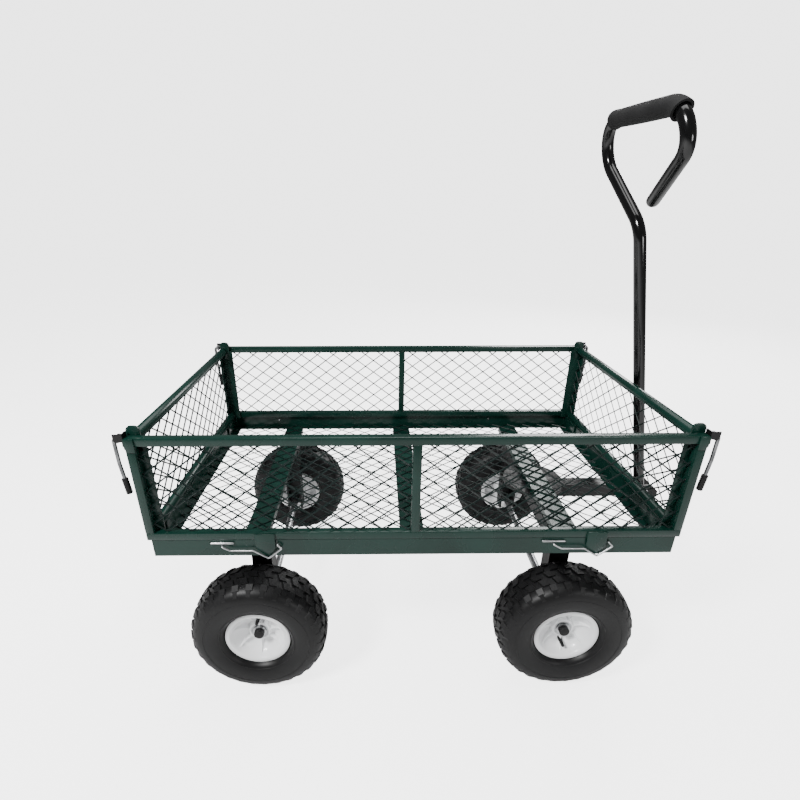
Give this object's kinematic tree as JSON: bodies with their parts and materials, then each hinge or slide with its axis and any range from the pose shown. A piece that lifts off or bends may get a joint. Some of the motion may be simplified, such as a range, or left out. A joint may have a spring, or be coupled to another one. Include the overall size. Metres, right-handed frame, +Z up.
{
  "type": "garden cart",
  "caption": "Mesh-sided garden cart with lift-off sides and gates, a steering front axle and a folding pull handle with a D-loop grip.",
  "frame": {"origin": "on the ground under the middle of the overall box", "axes": "+X from the rear gate towards the pull handle, +Y across to the cart's left, +Z up"},
  "size_m": [1.044, 0.587, 1.0245],
  "materials": {
    "green_powder_coat": "satin",
    "black_powder_coat": "satin",
    "handle_gloss_black": "gloss",
    "white_rim": "satin",
    "zinc_plate": "satin",
    "tyre_rubber": "matt",
    "grip_rubber": "matt"
  },
  "bodies": {
    "chassis": {"bed_frame": "green_powder_coat", "bed_mesh": "green_powder_coat", "rear_cross_member": "green_powder_coat", "middle_cross_member": "green_powder_coat", "front_cross_member": "green_powder_coat", "rear_axle_bracket": "black_powder_coat", "rear_axle": "zinc_plate", "rear_axle_hardware": "zinc_plate", "upper_turntable_plate": "black_powder_coat", "kingpin_bolt": "zinc_plate", "kingpin_nut": "zinc_plate", "chassis_bolts": "zinc_plate", "clip_bars": "zinc_plate"},
    "steering": {"lower_turntable_plate": "black_powder_coat", "steering_beam": "black_powder_coat", "front_axle": "zinc_plate", "front_axle_hardware": "zinc_plate", "tongue": "black_powder_coat", "handle_pivot_bolt": "zinc_plate"},
    "handle": {"handle_tube": "handle_gloss_black", "handle_grip": "grip_rubber"},
    "rear_right_wheel": {"rear_right_tyre": "tyre_rubber", "rear_right_rim": "white_rim", "rear_right_bearings": "zinc_plate", "rear_right_valve_stem": "grip_rubber"},
    "rear_left_wheel": {"rear_left_tyre": "tyre_rubber", "rear_left_rim": "white_rim", "rear_left_bearings": "zinc_plate", "rear_left_valve_stem": "grip_rubber"},
    "front_right_wheel": {"front_right_tyre": "tyre_rubber", "front_right_rim": "white_rim", "front_right_bearings": "zinc_plate", "front_right_valve_stem": "grip_rubber"},
    "front_left_wheel": {"front_left_tyre": "tyre_rubber", "front_left_rim": "white_rim", "front_left_bearings": "zinc_plate", "front_left_valve_stem": "grip_rubber"},
    "right_side": {"right_side_frame": "green_powder_coat", "right_side_mesh": "green_powder_coat", "right_latch_brackets": "black_powder_coat"},
    "left_side": {"left_side_frame": "green_powder_coat", "left_side_mesh": "green_powder_coat", "left_latch_brackets": "black_powder_coat"},
    "rear_gate": {"rear_gate_frame": "green_powder_coat", "rear_gate_mesh": "green_powder_coat"},
    "front_gate": {"front_gate_frame": "green_powder_coat", "front_gate_mesh": "green_powder_coat"},
    "rear_right_latch": {"rear_right_latch_lever": "zinc_plate", "rear_right_latch_grip": "grip_rubber"},
    "rear_left_latch": {"rear_left_latch_lever": "zinc_plate", "rear_left_latch_grip": "grip_rubber"},
    "front_right_latch": {"front_right_latch_lever": "zinc_plate", "front_right_latch_grip": "grip_rubber"},
    "front_left_latch": {"front_left_latch_lever": "zinc_plate", "front_left_latch_grip": "grip_rubber"},
    "rear_right_clip": {"rear_right_spring_clip": "zinc_plate"},
    "rear_left_clip": {"rear_left_spring_clip": "zinc_plate"},
    "front_right_clip": {"front_right_spring_clip": "zinc_plate"},
    "front_left_clip": {"front_left_spring_clip": "zinc_plate"}
  },
  "joints": [
    {"name": "steering_turn", "type": "hinge", "parent": "chassis", "child": "steering", "pos_m": [0.2435, 0, 0.29], "axis": [0, 0, 1], "range_deg": [-14, 14]},
    {"name": "handle_fold", "type": "hinge", "parent": "steering", "child": "handle", "pos_m": [0.489, 0, 0.2745], "axis": [0, 1, 0], "range_deg": [0, 115]},
    {"name": "rear_right_wheel_spin", "type": "hinge", "parent": "chassis", "child": "rear_right_wheel", "pos_m": [-0.3315, -0.2485, 0.127], "axis": [0, 1, 0], "continuous": true},
    {"name": "rear_left_wheel_spin", "type": "hinge", "parent": "chassis", "child": "rear_left_wheel", "pos_m": [-0.3315, 0.2485, 0.127], "axis": [0, 1, 0], "continuous": true},
    {"name": "front_right_wheel_spin", "type": "hinge", "parent": "steering", "child": "front_right_wheel", "pos_m": [0.2435, -0.2485, 0.127], "axis": [0, 1, 0], "continuous": true},
    {"name": "front_left_wheel_spin", "type": "hinge", "parent": "steering", "child": "front_left_wheel", "pos_m": [0.2435, 0.2485, 0.127], "axis": [0, 1, 0], "continuous": true},
    {"name": "right_side_lift", "type": "slide", "parent": "chassis", "child": "right_side", "axis": [0, 0, 1], "range_m": [0, 0.25]},
    {"name": "left_side_lift", "type": "slide", "parent": "chassis", "child": "left_side", "axis": [0, 0, 1], "range_m": [0, 0.25]},
    {"name": "rear_gate_lift", "type": "slide", "parent": "chassis", "child": "rear_gate", "axis": [0, 0, 1], "range_m": [0, 0.25]},
    {"name": "front_gate_lift", "type": "slide", "parent": "chassis", "child": "front_gate", "axis": [0, 0, 1], "range_m": [0, 0.028]},
    {"name": "rear_right_latch_flip", "type": "hinge", "parent": "right_side", "child": "rear_right_latch", "pos_m": [-0.51, -0.25675, 0.5335], "axis": [0, 1, 0], "range_deg": [0, 110]},
    {"name": "rear_left_latch_flip", "type": "hinge", "parent": "left_side", "child": "rear_left_latch", "pos_m": [-0.51, 0.25675, 0.5335], "axis": [0, 1, 0], "range_deg": [0, 110]},
    {"name": "front_right_latch_flip", "type": "hinge", "parent": "right_side", "child": "front_right_latch", "pos_m": [0.422, -0.25675, 0.5335], "axis": [0, -1, 0], "range_deg": [0, 110]},
    {"name": "front_left_latch_flip", "type": "hinge", "parent": "left_side", "child": "front_left_latch", "pos_m": [0.422, 0.25675, 0.5335], "axis": [0, -1, 0], "range_deg": [0, 110]},
    {"name": "rear_right_clip_swing", "type": "hinge", "parent": "chassis", "child": "rear_right_clip", "pos_m": [-0.374, -0.269, 0.33], "axis": [0, 1, 0], "range_deg": [0, 35]},
    {"name": "rear_left_clip_swing", "type": "hinge", "parent": "chassis", "child": "rear_left_clip", "pos_m": [-0.374, 0.269, 0.33], "axis": [0, 1, 0], "range_deg": [0, 35]},
    {"name": "front_right_clip_swing", "type": "hinge", "parent": "chassis", "child": "front_right_clip", "pos_m": [0.195, -0.269, 0.33], "axis": [0, 1, 0], "range_deg": [0, 35]},
    {"name": "front_left_clip_swing", "type": "hinge", "parent": "chassis", "child": "front_left_clip", "pos_m": [0.195, 0.269, 0.33], "axis": [0, 1, 0], "range_deg": [0, 35]}
  ]
}
